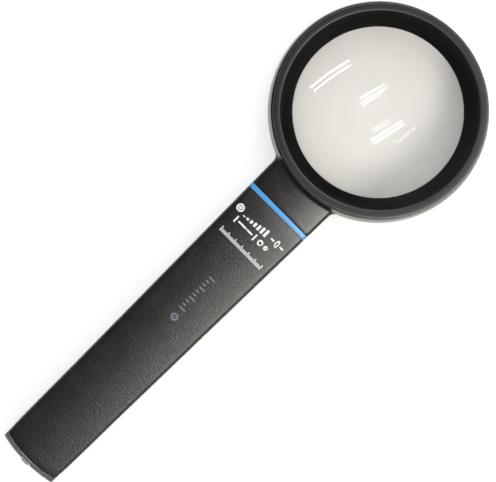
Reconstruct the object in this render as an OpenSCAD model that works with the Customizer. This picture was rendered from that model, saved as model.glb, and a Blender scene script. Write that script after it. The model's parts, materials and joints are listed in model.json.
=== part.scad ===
// Hand-held low vision magnifier: an aspheric lens in a hooded round head on a flat, tapered handle.
// The lens axis is vertical, the handle runs towards -Y, and the rear rim and the handle lie on Z = 0.
// The origin is the middle of the footprint. Distances called "a" run along the handle from the lens axis.

/* [Lens] */
// Clear diameter of the lens
lens_d = 50; // [42:0.5:60]
// Height of the front dome above the lens's flange
front_rise = 7.4; // [5:0.1:7.6]
// Height of the rear dome below the lens's flange
rear_rise = 7.1; // [5:0.1:7.6]
// Conic constant of the two aspheric faces
conic = -1.5; // [-3:0.1:0]
// Thickness of the flange around the lens
flange_t = 2; // [1.5:0.1:2.2]
// Width of the flange beyond the clear diameter
flange_w = 1.2; // [0.8:0.1:1.4]
// Thickness of the soft ring behind the flange
gasket_t = 0.5; // [0.3:0.1:1]

/* [Head] */
// Depth of the head from its rear rim to its front rim
head_t = 17.5; // [17.5:0.5:24]
// How far each hood opens out between the lens and its rim
hood_flare = 3.9; // [3:0.1:6]
// Wall of the hoods and of the pocket that holds the lens
hood_wall = 1.2; // [0.8:0.1:1.4]
// Width of each rim's flat face
rim_w = 2.1; // [1.8:0.1:4]
// How far the barrel swells out between its rims
barrel_bulge = 1.3; // [0.6:0.1:3]
// Bevel on the outer edge of each rim
rim_bevel = 0.4; // [0.2:0.1:0.8]

/* [Front bezel] */
// Thickness of the bezel's rim
bezel_t = 1.5; // [1.2:0.1:2.5]
// Open seam between the bezel's rim and the frame
seam = 0.3; // [0.1:0.1:0.6]
// How far the bezel's rim overhangs its skirt
ledge_w = 1.8; // [1.4:0.1:1.8]
// Height of the snap bead around the skirt
bead_h = 0.3; // [0.2:0.05:0.5]
// Width of the snap bead where it leaves the skirt
bead_w = 1.4; // [1:0.1:1.8]

/* [Handle] */
// Length of the neck between the barrel and the accent ring
neck_len = 8.15; // [6:0.05:20]
// Width of the accent ring along the handle
ring_w = 1.5; // [1:0.1:4]
// Length of the grip with its end cap
grip_len = 103.8; // [90:0.1:140]
// Width of the handle at the accent ring
neck_w = 22.7; // [20:0.1:28]
// Width of the handle at its far end
end_w = 19.5; // [18:0.1:24]
// Thickness of the handle
handle_t = 12; // [10:0.5:14.5]
// Rise of the gentle crown across the two broad faces
crown = 0.6; // [0.3:0.1:1]
// Radius of the handle's long edges
edge_r = 1.2; // [0.6:0.1:1.6]
// Radius of the fillet where the neck meets the barrel
neck_fillet = 1.5; // [0.5:0.1:4]
// Radius of the end's bow, seen from above
end_bow = 40; // [25:1:120]
// How far the end cap's nose bulges past its edges
nose = 2.1; // [1.5:0.1:3]

/* [Inside the handle] */
// Wall of the grip sleeve
sleeve_wall = 2; // [1.6:0.1:2.2]
// Length of the frame's tang inside the grip
tang_len = 30; // [26:1:45]
// Full-height root of the tang
tang_root = 3; // [2:0.5:5]
// Distance of each screw from its end of the lap joint
screw_edge = 6; // [5:0.5:7]
// Nominal diameter of the core screws
screw_d = 2.5; // [2:0.5:3]
// Diameter of the screw heads
screw_head_d = 4.7; // [4:0.1:6]
// Height of the screw heads
screw_head_h = 1.5; // [1:0.1:1.6]
// Outside diameter of the threaded inserts
insert_d = 3.9; // [3.6:0.1:5]
// Skin of tang left above each insert
insert_skin = 0.6; // [0.4:0.1:0.8]
// Number of lightening pockets on each face of the core
pockets = 4; // [2:1:8]
// Rib between neighbouring pockets
rib = 2; // [1.5:0.1:3]
// Side wall of the core beside its pockets
core_wall = 1.8; // [1.4:0.1:3]
// Web left between the upper and lower pockets
core_web = 1.6; // [1.2:0.1:2]

/* [End cap] */
// Land between the grip's end and the nose of the cap
cap_land = 0.2; // [0.1:0.1:1]
// Length of the cap's spigot inside the grip
spigot_len = 7; // [6:0.5:10]
// Wall of the spigot
spigot_wall = 1.3; // [1:0.1:1.5]
// Width of the end plug
plug_w = 2.9; // [2.4:0.1:3.4]
// Height of the end plug's face
plug_h = 9.4; // [7:0.1:9.6]
// How far the end plug stands proud of the cap
plug_proud = 0.4; // [0:0.1:0.8]
// Depth of the plug's seat below the tip of the cap
plug_seat = 1.9; // [1.8:0.1:2.4]
// Width of each snap tongue of the core
tongue_w = 3; // [2.4:0.1:3.2]
// How far each snap barb reaches into its window
barb = 0.8; // [0.5:0.1:1]

/* [Clearances] */
// Clearance of parts that locate one another
fit = 0.1; // [0.05:0.05:0.2]
// Clearance of the tang and the core inside the sleeve
slide = 0.15; // [0.1:0.05:0.3]
// Clearance of a screw's thread in its insert
thread_gap = 0.03; // [0.02:0.01:0.05]

/* [Hidden] */
$fn = 96;

plastic = "#2a2a2d";
soft_touch = "#333335";
blue = "#5a9fd6";

// Head: radii from the lens axis and heights above the rear rim
lens_r = lens_d / 2;
flange_r = lens_r + flange_w;
lens_z = head_t / 2;
flange_top = lens_z + flange_t / 2;
flange_bottom = lens_z - flange_t / 2;
seat_z = flange_bottom - gasket_t;
hood_r = lens_r + hood_flare;
rim_r = hood_r + rim_w;
barrel_r = rim_r + barrel_bulge;
barrel_arc = (pow(head_t / 2, 2) + pow(barrel_bulge, 2)) / (2 * barrel_bulge);
bezel_z = head_t - bezel_t;
frame_top = bezel_z - seam;
skirt_r = rim_r - ledge_w;
bore_r = skirt_r + fit;
pocket_r = flange_r + fit;
ledge_z = flange_top - fit;
bead_z = (flange_top + bezel_z) / 2 + bead_w / 2;
front_slope = hood_flare / (head_t - flange_top);
rear_slope = hood_flare / seat_z;
lens_steps = 24;

// Handle: distances from the lens axis and heights above the rear rim
neck_end = barrel_r + neck_len;
ring_end = neck_end + ring_w;
end_a = ring_end + grip_len;
tip_a = end_a + plug_proud;
taper = (neck_w - end_w) / 2 / (end_a - neck_end);
crown_r = (pow(neck_w / 2, 2) + pow(crown, 2)) / (2 * crown);
mid_z = handle_t / 2;
cavity_z0 = sleeve_wall;
cavity_z1 = handle_t - sleeve_wall;
core_z0 = cavity_z0 + slide;
core_z1 = cavity_z1 - slide;
core_inset = sleeve_wall + slide;
head_y = (tip_a - barrel_r) / 2;

// Lap joint of the tang and the core
tang_end = ring_end + tang_len;
lap_start = ring_end + tang_root;
screw_places = [lap_start + screw_edge, tang_end - screw_edge];
insert_len = core_z1 - mid_z - insert_skin;
counterbore = screw_head_h + fit;

// End cap, snap tongues and plug
cap_back = nose + cap_land;
bow_a = end_a - end_bow;
nose_r = (pow(mid_z, 2) + pow(nose, 2)) / (2 * nose);
joint_a = end_a - cap_back;
spigot_a = joint_a - spigot_len;
spigot_inset = sleeve_wall + fit;
spigot_z0 = cavity_z0 + fit;
spigot_z1 = cavity_z1 - fit;
core_end = spigot_a - 2 * fit;
pouch_a = joint_a - 1;
pouch_inset = spigot_inset + spigot_wall;
pouch_z0 = spigot_z0 + spigot_wall;
pouch_z1 = spigot_z1 - spigot_wall;
tongue_end = pouch_a - 2 * fit;
tongue_x = plug_w / 2 + fit;
window_a = tongue_end - 3.6;
window_len = 2.4;

// Half-width of the handle at a distance from the lens axis
function half_w(a) = neck_w / 2 - taper * (a - neck_end);

// Apex curvature of a conic dome of the given rise over the clear radius
function dome_curve(rise) = 2 * rise / (pow(lens_r, 2) + (1 + conic) * pow(rise, 2));

// Fall of a conic dome from its apex at radius r
function dome_fall(r, c) = c * r * r / (1 + sqrt(1 - (1 + conic) * pow(c * r, 2)));

// Height of the dome of the given rise above its edge at radius r
function dome_z(r, rise) = rise - dome_fall(r, dome_curve(rise));

// Places its children relative to the lens axis
module on_head() {
    translate([0, head_y, 0]) children();
}

// Cross-section of the handle at the accent ring: crowned broad faces and rounded long edges
module section() {
    inner_crown = crown_r - edge_r;
    offset(r = edge_r, $fn = 32) intersection() {
        square([neck_w - 2 * edge_r, handle_t - 2 * edge_r], center = true);
        translate([0, mid_z - crown_r]) circle(inner_crown, $fn = 360);
        translate([0, crown_r - mid_z]) circle(inner_crown, $fn = 360);
    }
}

// Stretch of the handle's tapered outside between two distances
module bar(a0, a1) {
    w0 = half_w(a0);
    w1 = half_w(a1);
    translate([0, -a0, mid_z]) rotate([90, 0, 0])
        linear_extrude(a1 - a0, scale = [w1 / w0, 1], slices = 1) scale([2 * w0 / neck_w, 1]) section();
}

// Tapered block that keeps a constant inset from the handle's sides
module tapered_block(a0, a1, inset, z0, z1) {
    w0 = half_w(a0) - inset;
    w1 = half_w(a1) - inset;
    translate([0, 0, z0]) linear_extrude(z1 - z0)
        polygon([[-w0, -a0], [w0, -a0], [w1, -a1], [-w1, -a1]]);
}

// Half-section of the barrel's outside between two heights
module barrel_section(z0, z1) {
    intersection() {
        translate([barrel_r - barrel_arc, head_t / 2]) circle(barrel_arc, $fn = 256);
        translate([0, z0]) square([barrel_r, z1 - z0]);
        polygon([[0, 0], [rim_r - rim_bevel, 0], [rim_r + barrel_bulge, rim_bevel + barrel_bulge],
                 [rim_r + barrel_bulge, head_t], [0, head_t]]);
    }
}

// Half-section of everything that is hollow inside the frame
module frame_hollow() {
    wall_step = hood_wall * sqrt(1 + pow(rear_slope, 2));
    core_r = pocket_r + hood_wall;
    polygon([[0, -1], [hood_r + rear_slope, -1], [lens_r, seat_z], [pocket_r, seat_z],
             [pocket_r, ledge_z], [bore_r, ledge_z], [bore_r, head_t], [0, head_t]]);
    polygon([[core_r, ledge_z + fit], [core_r, (hood_r + wall_step - core_r) / rear_slope],
             [bore_r, (hood_r + wall_step - bore_r) / rear_slope], [bore_r, ledge_z + fit]]);
    bead_section(bore_r, fit);
}

// Half-section of the snap bead, or of its groove when grown by a clearance
module bead_section(r, grow) {
    half = bead_w / 2 + grow;
    polygon([[r - 1, bead_z - half], [r, bead_z - half], [r + bead_h, bead_z - half + bead_h],
             [r + bead_h, bead_z + half - bead_h], [r, bead_z + half], [r - 1, bead_z + half]]);
}

// Fillets in the two corners between the neck and the barrel
module neck_fillets() {
    x = half_w(barrel_r) + neck_fillet;
    a = sqrt(pow(rim_r + neck_fillet, 2) - pow(x, 2));
    for (side = [-1, 1]) {
        translate([0, 0, edge_r]) linear_extrude(handle_t - 2 * edge_r) difference() {
            polygon([[side * x, -a], [side * (x - neck_fillet - 1), -a], [0, 0]]);
            translate([side * x, -a]) circle(neck_fillet);
        }
    }
}

// Blank of the end cap: a disc with a bulged edge, struck from the centre of the end's bow
module nose_disc(grow) {
    translate([0, -bow_a, 0]) rotate_extrude($fn = 256) intersection() {
        translate([end_bow - nose_r, mid_z]) circle(nose_r + grow, $fn = 128);
        square([end_bow + grow, handle_t]);
    }
}

// Biconvex aspheric lens with the flange that it is held by
module lens() {
    front = [for (i = [0:lens_steps]) let (r = lens_r * i / lens_steps)
             [r, flange_top + dome_z(r, front_rise)]];
    rear = [for (i = [lens_steps:-1:0]) let (r = lens_r * i / lens_steps)
            [r, flange_bottom - dome_z(r, rear_rise)]];
    color("#dfe3e6", 0.6) on_head() rotate_extrude()
        polygon(concat(front, [[flange_r, flange_top], [flange_r, flange_bottom]], rear));
}

// Soft ring that the bezel presses the lens against
module lens_gasket() {
    color("#1a1a1a") on_head() rotate_extrude()
        translate([lens_r + fit, seat_z]) square([flange_w - fit, gasket_t]);
}

// Snap-in ring that holds the lens, with the front hood and the front rim
module front_bezel() {
    wall_step = hood_wall * sqrt(1 + pow(front_slope, 2));
    groove_r = skirt_r - hood_wall;
    groove_top = flange_top + (groove_r - lens_r - wall_step) / front_slope;
    color(plastic) on_head() rotate_extrude() difference() {
        union() {
            polygon([[lens_r, flange_top], [skirt_r, flange_top], [skirt_r, bezel_z], [rim_r, bezel_z],
                     [rim_r, head_t - rim_bevel], [rim_r - rim_bevel, head_t], [hood_r, head_t]]);
            bead_section(skirt_r, 0);
        }
        polygon([[lens_r + wall_step, flange_top - 1], [lens_r + wall_step, flange_top],
                 [groove_r, groove_top], [groove_r, flange_top - 1]]);
    }
}

// Barrel with the rear hood, the neck and the tang in one moulding
module lens_frame() {
    color(plastic) on_head() difference() {
        union() {
            rotate_extrude() barrel_section(0, frame_top);
            bar(lens_r, neck_end);
            neck_fillets();
            tapered_block(neck_end - 1, lap_start, core_inset, core_z0, core_z1);
            tapered_block(lap_start - 1, tang_end, core_inset, mid_z, core_z1);
        }
        rotate_extrude() frame_hollow();
        for (a = screw_places) {
            translate([0, -a, mid_z - 1]) cylinder(d = insert_d, h = insert_len + 1);
        }
    }
}

// Coloured ring clamped between the neck and the grip
module accent_ring() {
    color(blue) on_head() difference() {
        bar(neck_end, ring_end);
        tapered_block(neck_end - 1, ring_end + 1, core_inset - fit, core_z0 - fit, core_z1 + fit);
    }
}

// Hollow grip that slides over the tang and the core
module grip_sleeve() {
    color(soft_touch) on_head() difference() {
        bar(ring_end, end_a);
        tapered_block(ring_end - 1, end_a + 1, sleeve_wall, cavity_z0, cavity_z1);
        difference() {
            translate([-neck_w, -end_a - 1, -1]) cube([2 * neck_w, cap_back + end_bow / 4, handle_t + 2]);
            translate([0, -bow_a, -2]) cylinder(r = end_bow - cap_back, h = handle_t + 4, $fn = 256);
        }
    }
}

// Two-sided lightening pockets of the core
module core_pockets() {
    first = tang_end + 2 * rib;
    span = core_end - 2 * rib - first;
    pitch = (span + rib) / pockets;
    inset = core_inset + core_wall;
    for (i = [0:pockets - 1]) {
        a = first + i * pitch;
        tapered_block(a, a + pitch - rib, inset, mid_z + core_web / 2, core_z1 + 1);
        tapered_block(a, a + pitch - rib, inset, core_z0 - 1, mid_z - core_web / 2);
    }
}

// Stiffening core: lapped and screwed to the tang, with two snap tongues for the end cap
module handle_core() {
    tongue_h = pouch_z1 - pouch_z0 - 2 * fit;
    tongue_root = core_end - rib;
    barb_x = half_w(window_a + window_len) - pouch_inset + barb;
    color("#3c3c40") on_head() difference() {
        union() {
            tapered_block(lap_start + 2 * fit, tang_end + 2 * fit, core_inset, core_z0, mid_z);
            tapered_block(tang_end + 2 * fit, core_end, core_inset, core_z0, core_z1);
            for (side = [-1, 1]) {
                translate([side * (tongue_x + tongue_w / 2), -(tongue_root + tongue_end) / 2, mid_z])
                    cube([tongue_w, tongue_end - tongue_root, tongue_h], center = true);
                translate([side * (tongue_x + barb_x) / 2, -window_a - window_len / 2, mid_z])
                    cube([barb_x - tongue_x, window_len - 2 * fit, tongue_h - 2 * fit], center = true);
            }
        }
        core_pockets();
        for (a = screw_places) {
            translate([0, -a, core_z0 - 1]) cylinder(d = screw_head_d + 2 * fit, h = counterbore + 1);
            translate([0, -a, core_z0]) cylinder(d = screw_d + 2 * fit, h = handle_t);
        }
    }
}

// Brass inserts in the tang that take the core screws
module tang_inserts() {
    color("#c9a227") on_head() for (a = screw_places) {
        translate([0, -a, mid_z]) difference() {
            cylinder(d = insert_d, h = insert_len);
            translate([0, 0, -1]) cylinder(d = screw_d + 2 * thread_gap, h = insert_len + 2);
        }
    }
}

// Socket screws that clamp the core to the tang
module core_screws() {
    socket_d = screw_head_d / 2.5;
    color("#b8bcc0") on_head() for (a = screw_places) {
        translate([0, -a, core_z0 + fit]) difference() {
            union() {
                cylinder(d = screw_head_d, h = screw_head_h);
                cylinder(d = screw_d, h = mid_z + insert_len - core_z0 - 2 * fit);
            }
            translate([0, 0, -1]) cylinder(d = socket_d, h = 1 + screw_head_h / 2, $fn = 6);
        }
    }
}

// Cap that closes the grip, with a hollow spigot and windows for the snap barbs
module end_cap() {
    color(plastic) on_head() difference() {
        union() {
            difference() {
                intersection() {
                    bar(spigot_a, end_a);
                    nose_disc(0);
                }
                translate([0, -bow_a, -1]) cylinder(r = end_bow - cap_back + fit, h = handle_t + 2, $fn = 256);
            }
            tapered_block(spigot_a, end_a - plug_seat, spigot_inset, spigot_z0, spigot_z1);
        }
        tapered_block(spigot_a - 1, pouch_a, pouch_inset, pouch_z0, pouch_z1);
        translate([-neck_w, -window_a - window_len, pouch_z0]) cube([2 * neck_w, window_len, pouch_z1 - pouch_z0]);
        translate([-plug_w / 2 - fit, -end_a - 1, mid_z - plug_h / 2 - fit])
            cube([plug_w + 2 * fit, plug_seat + 1, plug_h + 2 * fit]);
        translate([-plug_w / 2 - fit, -end_a, pouch_z0])
            cube([plug_w + 2 * fit, end_a - pouch_a + 1, pouch_z1 - pouch_z0]);
    }
}

// Coloured plug that locks the snap tongues apart
module end_plug() {
    shank_h = pouch_z1 - pouch_z0 - 2 * fit;
    shank_a = core_end + 2 * fit;
    color(blue) on_head() intersection() {
        union() {
            translate([-plug_w / 2, -tip_a, mid_z - plug_h / 2]) cube([plug_w, tip_a - end_a + plug_seat, plug_h]);
            translate([-plug_w / 2, -end_a, mid_z - shank_h / 2]) cube([plug_w, end_a - shank_a, shank_h]);
        }
        nose_disc(plug_proud);
    }
}

lens();
lens_gasket();
front_bezel();
lens_frame();
accent_ring();
grip_sleeve();
handle_core();
tang_inserts();
core_screws();
end_cap();
end_plug();
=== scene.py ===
"""Looks of a hand-held low vision magnifier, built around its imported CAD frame.

Sizes are in millimetres, in the frame's own axes: +Z up along the lens axis, the handle towards -Y. Places
along the handle are written as "a", the distance from the lens axis. Meshes are turned into metres as they
are made.
"""

import json
import logging
import math
from collections.abc import Callable, Sequence
from dataclasses import dataclass, replace
from enum import Enum
from functools import cache

import bmesh
import bpy
from mathutils import Matrix, Vector

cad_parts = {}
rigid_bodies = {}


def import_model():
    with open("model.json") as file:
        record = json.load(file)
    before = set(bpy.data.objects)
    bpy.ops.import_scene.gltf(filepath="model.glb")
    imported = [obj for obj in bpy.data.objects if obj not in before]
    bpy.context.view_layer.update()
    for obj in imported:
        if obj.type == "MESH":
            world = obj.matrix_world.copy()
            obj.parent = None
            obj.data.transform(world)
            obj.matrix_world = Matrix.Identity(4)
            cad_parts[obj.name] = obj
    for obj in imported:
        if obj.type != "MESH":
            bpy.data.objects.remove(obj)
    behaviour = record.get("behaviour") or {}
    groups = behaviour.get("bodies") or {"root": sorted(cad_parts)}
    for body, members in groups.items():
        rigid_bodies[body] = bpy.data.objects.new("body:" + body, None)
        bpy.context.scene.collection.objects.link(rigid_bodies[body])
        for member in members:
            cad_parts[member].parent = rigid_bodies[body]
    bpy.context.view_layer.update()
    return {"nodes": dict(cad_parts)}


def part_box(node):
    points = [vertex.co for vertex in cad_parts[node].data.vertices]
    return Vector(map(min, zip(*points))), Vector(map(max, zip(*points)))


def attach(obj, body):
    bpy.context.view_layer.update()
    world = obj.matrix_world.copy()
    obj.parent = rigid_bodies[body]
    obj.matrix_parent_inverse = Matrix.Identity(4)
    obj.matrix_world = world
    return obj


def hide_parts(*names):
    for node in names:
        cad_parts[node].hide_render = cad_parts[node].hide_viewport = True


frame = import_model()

LOG = logging.getLogger("magnifier")
ROOT = "root"
MM = 0.001  # metres in a millimetre
WELD = 1e-8  # metres between points that become one
TINY = 1e-6  # millimetres too short to be rounded
STRAIGHT = 1e-3  # radians from straight or folded at which a corner is left alone
FILLET_SHARE = 0.48  # share of an edge that the fillet at one of its ends may take
FLAT = 0.01  # crown of a face that is as good as flat
SHARP = 35.0  # degrees from which an edge stays sharp
BEYOND = 1.0  # how far a cutting tool runs past the face that it opens
ROUND_STEPS = 288
FACE_STEPS, EDGE_STEPS, WALL_STEPS, FILLET_STEPS, ROLL_STEPS = 16, 6, 5, 5, 4
WHITE = (1.0, 1.0, 1.0)

Pair = tuple[float, float]
Triple = tuple[float, float, float]


class Slot(Enum):
    """Material slots of the record, which the log names for each new piece."""

    LENS = "lens"
    FRAME = "frame_plastic"
    GRIP = "grip"
    ACCENT = "accent"


class Join(Enum):
    """Ways in which one mesh changes another."""

    ADD = "UNION"
    CUT = "DIFFERENCE"


# ---------------------------------------------------------------- outlines


def mix(p: Sequence[float], q: Sequence[float], t: float) -> tuple[float, ...]:
    """Point a share t of the way from p to q."""
    return tuple(a + (b - a) * t for a, b in zip(p, q))


def steps(start: float, end: float, count: int) -> list[float]:
    """Even values from start to end, both kept, in count steps."""
    return [start + (end - start) * i / count for i in range(count + 1)]


def fillet(before: Pair, corner: Pair, after: Pair, radius: float, count: int) -> list[Pair]:
    """Round one corner of an outline.

    Args:
        before: Outline point before the corner.
        corner: The corner itself.
        after: Outline point after the corner.
        radius: Fillet radius, cut down where the edges are too short for it.
        count: Steps along the arc.

    Returns:
        Points along the arc, or the corner alone where it can't be rounded.
    """
    back, ahead = Vector(before) - Vector(corner), Vector(after) - Vector(corner)
    shortest = FILLET_SHARE * min(back.length, ahead.length)
    if min(shortest, radius) < TINY:
        return [corner]
    half = back.angle(ahead) / 2
    if not STRAIGHT < half < math.pi / 2 - STRAIGHT:
        return [corner]
    reach = min(radius / math.tan(half), shortest)
    radius = reach * math.tan(half)
    middle = (back.normalized() + ahead.normalized()).normalized()
    centre = Vector(corner) + middle * (radius / math.sin(half))
    first = Vector(corner) + back.normalized() * reach - centre
    last = Vector(corner) + ahead.normalized() * reach - centre
    sweep = math.atan2(first.x * last.y - first.y * last.x, first.dot(last))
    turned = [Matrix.Rotation(sweep * i / count, 2) @ first for i in range(count + 1)]
    return [(centre.x + p.x, centre.y + p.y) for p in turned]


def rounded(corners: Sequence[Triple], count: int = FILLET_STEPS) -> list[Pair]:
    """Closed outline with its corners rounded.

    Args:
        corners: Corners as (x, y, fillet radius).
        count: Steps along each fillet.

    Returns:
        The outline's points, in order.
    """
    outline: list[Pair] = []
    for i, (x, y, radius) in enumerate(corners):
        after = corners[(i + 1) % len(corners)]
        outline += fillet(corners[i - 1][:2], (x, y), after[:2], radius, count)
    return outline


def shrink(outline: Sequence[Pair], inset: float) -> list[Pair]:
    """Closed outline moved inwards along its own normals."""
    normals = [outward(outline, i) for i in range(len(outline))]
    return [(x - inset * nx, y - inset * ny) for (x, y), (nx, ny) in zip(outline, normals)]


def roll(soft: float, count: int = ROLL_STEPS) -> list[Pair]:
    """Steps round a soft edge of a radius, as (inset from the side, set-back from the end)."""
    return [(soft * (1 - math.cos(t)), soft * (1 - math.sin(t))) for t in steps(0, math.pi / 2, count)]


def outward(outline: Sequence[Pair], i: int) -> Pair:
    """Unit normal of a counter-clockwise outline at one of its points.

    Args:
        outline: The outline's points.
        i: Number of the point.

    Returns:
        The normal, which looks outwards.
    """
    before, after = outline[i - 1], outline[(i + 1) % len(outline)]
    dx, dy = after[0] - before[0], after[1] - before[1]
    length = math.hypot(dx, dy)
    return dy / length, -dx / length


def bar_outline(half_w: float, low: float, high: float, crown: float, edge_r: float) -> list[Pair]:
    """Counter-clockwise cross-section with crowned broad faces and rounded edges.

    Every outline has the same number of points in the same order, so any two can be joined point to point.

    Args:
        half_w: Half of its width.
        low: Height of its lower face at the middle.
        high: Height of its upper face at the middle.
        crown: Rise of the crown across each broad face.
        edge_r: Radius of the four edges.

    Returns:
        Points as (x, height), from the left end of the lower face.
    """
    mid = (low + high) / 2
    crown_r = (half_w ** 2 + crown ** 2) / (2 * crown)
    inner_r, corner_x = crown_r - edge_r, half_w - edge_r
    lean = math.asin(corner_x / inner_r)
    corner_z = high - crown_r + math.sqrt(inner_r ** 2 - corner_x ** 2)
    turns = steps(0, math.pi / 2 - lean, EDGE_STEPS)
    top = [(corner_x + edge_r * math.cos(t), corner_z + edge_r * math.sin(t)) for t in turns]
    bottom = [(x, 2 * mid - z) for x, z in reversed(top)]
    side = bottom + [mix(bottom[-1], top[0], i / WALL_STEPS) for i in range(1, WALL_STEPS)] + top
    across = steps(-side[0][0], side[0][0], FACE_STEPS)
    face = [(x, crown_r - math.sqrt(crown_r ** 2 - x * x)) for x in across]
    lower = [(x, low + fall) for x, fall in face[1:-1]]
    upper = [(-x, 2 * mid - z) for x, z in lower]
    return lower + side + upper + [(-x, 2 * mid - z) for x, z in side]


# ---------------------------------------------------------------- meshes


def make_object(name: str, points: Sequence[Sequence[float]], faces: Sequence[Sequence[int]],
                sharp: float = SHARP) -> bpy.types.Object:
    """Make a closed, smooth-shaded mesh object whose faces look outwards.

    Args:
        name: Name of the piece.
        points: Vertices in millimetres.
        faces: Vertex numbers of each face.
        sharp: Angle in degrees from which an edge stays sharp.

    Returns:
        The object, linked to the scene.
    """
    mesh = bpy.data.meshes.new(name)
    mesh.from_pydata([tuple(v * MM for v in p) for p in points], [], [tuple(f) for f in faces])
    work = bmesh.new()
    work.from_mesh(mesh)
    bmesh.ops.remove_doubles(work, verts=work.verts, dist=WELD)
    bmesh.ops.recalc_face_normals(work, faces=work.faces)
    work.to_mesh(mesh)
    work.free()
    made = bpy.data.objects.new(name, mesh)
    bpy.context.scene.collection.objects.link(made)
    shade(made, sharp)
    return made


def shade(made: bpy.types.Object, sharp: float) -> None:
    """Shade a mesh smooth, except across edges sharper than an angle in degrees."""
    made.data.shade_smooth()
    made.data.set_sharp_from_angle(angle=math.radians(sharp))


def loft(name: str, rows: Sequence[Sequence[Triple]], ring: bool = False,
         sharp: float = SHARP) -> bpy.types.Object:
    """Skin a stack of closed outlines that have the same number of points.

    Args:
        name: Name of the piece.
        rows: The outlines, in order.
        ring: Whether the last outline joins the first, as in a tube with a wall. Otherwise both ends are
            closed.
        sharp: Angle in degrees from which an edge stays sharp.

    Returns:
        The skinned object.
    """
    count, size = len(rows), len(rows[0])
    faces: list[tuple[int, ...]] = []
    for r in range(count if ring else count - 1):
        up = (r + 1) % count
        for c in range(size):
            right = (c + 1) % size
            faces.append((r * size + c, r * size + right, up * size + right, up * size + c))
    if not ring:
        faces += [tuple(range(size)), tuple(range((count - 1) * size, count * size))]
    return make_object(name, [p for row in rows for p in row], faces, sharp)


def lathe(name: str, outline: Sequence[Pair], centre_y: float, turns: int = ROUND_STEPS,
          sharp: float = SHARP) -> bpy.types.Object:
    """Turn a closed half-section around a vertical axis.

    Args:
        name: Name of the piece.
        outline: Closed half-section as (radius, height).
        centre_y: Where the axis stands along Y.
        turns: Steps around the axis.
        sharp: Angle in degrees from which an edge stays sharp.

    Returns:
        The turned object.
    """
    angles = [math.tau * i / turns for i in range(turns)]
    rows = [[(radius * math.cos(t), centre_y + radius * math.sin(t), height) for t in angles]
            for radius, height in outline]
    return loft(name, rows, ring=True, sharp=sharp)


def combine(body: bpy.types.Object, tool: bpy.types.Object, way: Join) -> None:
    """Join a tool to a body or cut it away, and remove the tool.

    Args:
        body: The piece that is kept.
        tool: The shape that joins or cuts it.
        way: Whether the tool adds or cuts.
    """
    change = body.modifiers.new("combine", "BOOLEAN")
    change.operation, change.object, change.solver = way.value, tool, "EXACT"
    bpy.context.view_layer.update()
    depsgraph = bpy.context.evaluated_depsgraph_get()
    final = bpy.data.meshes.new_from_object(body.evaluated_get(depsgraph), depsgraph=depsgraph)
    body.modifiers.clear()
    body.data = final
    bpy.data.objects.remove(tool)
    shade(body, SHARP)


def settle(piece: bpy.types.Object, slot: Slot, finish: bpy.types.Material, *nodes: str) -> bpy.types.Object:
    """Dress a new piece, hang it on the root body and hide the nodes that it stands for.

    Args:
        piece: The finished piece.
        slot: The record's slot that the log names for it.
        finish: Its material.
        nodes: CAD nodes that it stands for.

    Returns:
        The same piece.
    """
    piece.data.materials.clear()
    piece.data.materials.append(finish)
    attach(piece, ROOT)
    if nodes:
        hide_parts(*nodes)
    LOG.info("%s: %d faces, slot %s, stands for %s", piece.name, len(piece.data.polygons), slot.value,
             ", ".join(nodes) or "no node")
    return piece


# ---------------------------------------------------------------- the frame's sizes


def box_mm(node: str) -> tuple[Vector, Vector]:
    """Lowest and highest corner of a CAD node, in millimetres."""
    low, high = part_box(node)
    return low / MM, high / MM


@dataclass(frozen=True)
class Head:
    """Heights and radii of the head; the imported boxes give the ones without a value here."""

    y: float
    flange_r: float
    flange_top: float
    seat_z: float
    lens_low: float
    lens_top: float
    rim_r: float
    barrel_r: float
    frame_top: float
    top: float
    flange_t: float = 2.0
    flange_w: float = 1.2
    conic: float = -1.5
    rim_w: float = 2.1
    rim_bevel: float = 0.4
    bezel_t: float = 1.5
    hood_wall: float = 1.2
    ledge_w: float = 1.8
    fit: float = 0.1
    bead_h: float = 0.3
    bead_w: float = 1.4
    crease: float = 0.1
    corner: float = 0.15
    edge: float = 0.12

    @classmethod
    def from_frame(cls) -> "Head":
        """Read the head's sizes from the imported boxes.

        Returns:
            The head's sizes.
        """
        lens, bezel, body = box_mm("lens"), box_mm("front_bezel"), box_mm("lens_frame")
        y = (bezel[0].y + bezel[1].y) / 2
        return cls(y=y, flange_r=lens[1].x, flange_top=bezel[0].z, seat_z=box_mm("lens_gasket")[0].z,
                   lens_low=lens[0].z, lens_top=lens[1].z, rim_r=bezel[1].x, barrel_r=body[1].y - y,
                   frame_top=body[1].z, top=bezel[1].z)

    @property
    def lens_r(self) -> float:
        """Clear radius of the lens."""
        return self.flange_r - self.flange_w

    @property
    def hood_r(self) -> float:
        """Inner radius of each rim."""
        return self.rim_r - self.rim_w

    @property
    def skirt_r(self) -> float:
        """Outer radius of the bezel's skirt."""
        return self.rim_r - self.ledge_w

    @property
    def bead_z(self) -> float:
        """Height of the middle of the snap bead."""
        return (self.flange_top + self.top - self.bezel_t) / 2 + self.bead_w / 2

    def barrel(self, z: float) -> float:
        """Outer radius of the barrel at a height.

        Args:
            z: The height.

        Returns:
            The radius.
        """
        bulge, half = self.barrel_r - self.rim_r, self.top / 2
        arc = (half * half + bulge * bulge) / (2 * bulge)
        return self.barrel_r - arc + math.sqrt(arc * arc - (z - half) ** 2)

    def bead(self, radius: float, grow: float) -> list[Triple]:
        """Corners of the snap bead, from below, on a skirt or bore of a radius.

        Args:
            radius: Radius of the skirt or bore.
            grow: How much wider than the bead itself.

        Returns:
            Corners as (radius, height, fillet radius).
        """
        half = self.bead_w / 2 + grow
        low, high, out = self.bead_z - half, self.bead_z + half, radius + self.bead_h
        return [(radius, low, self.crease), (out, low + self.bead_h, self.corner),
                (out, high - self.bead_h, self.corner), (radius, high, self.crease)]


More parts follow.
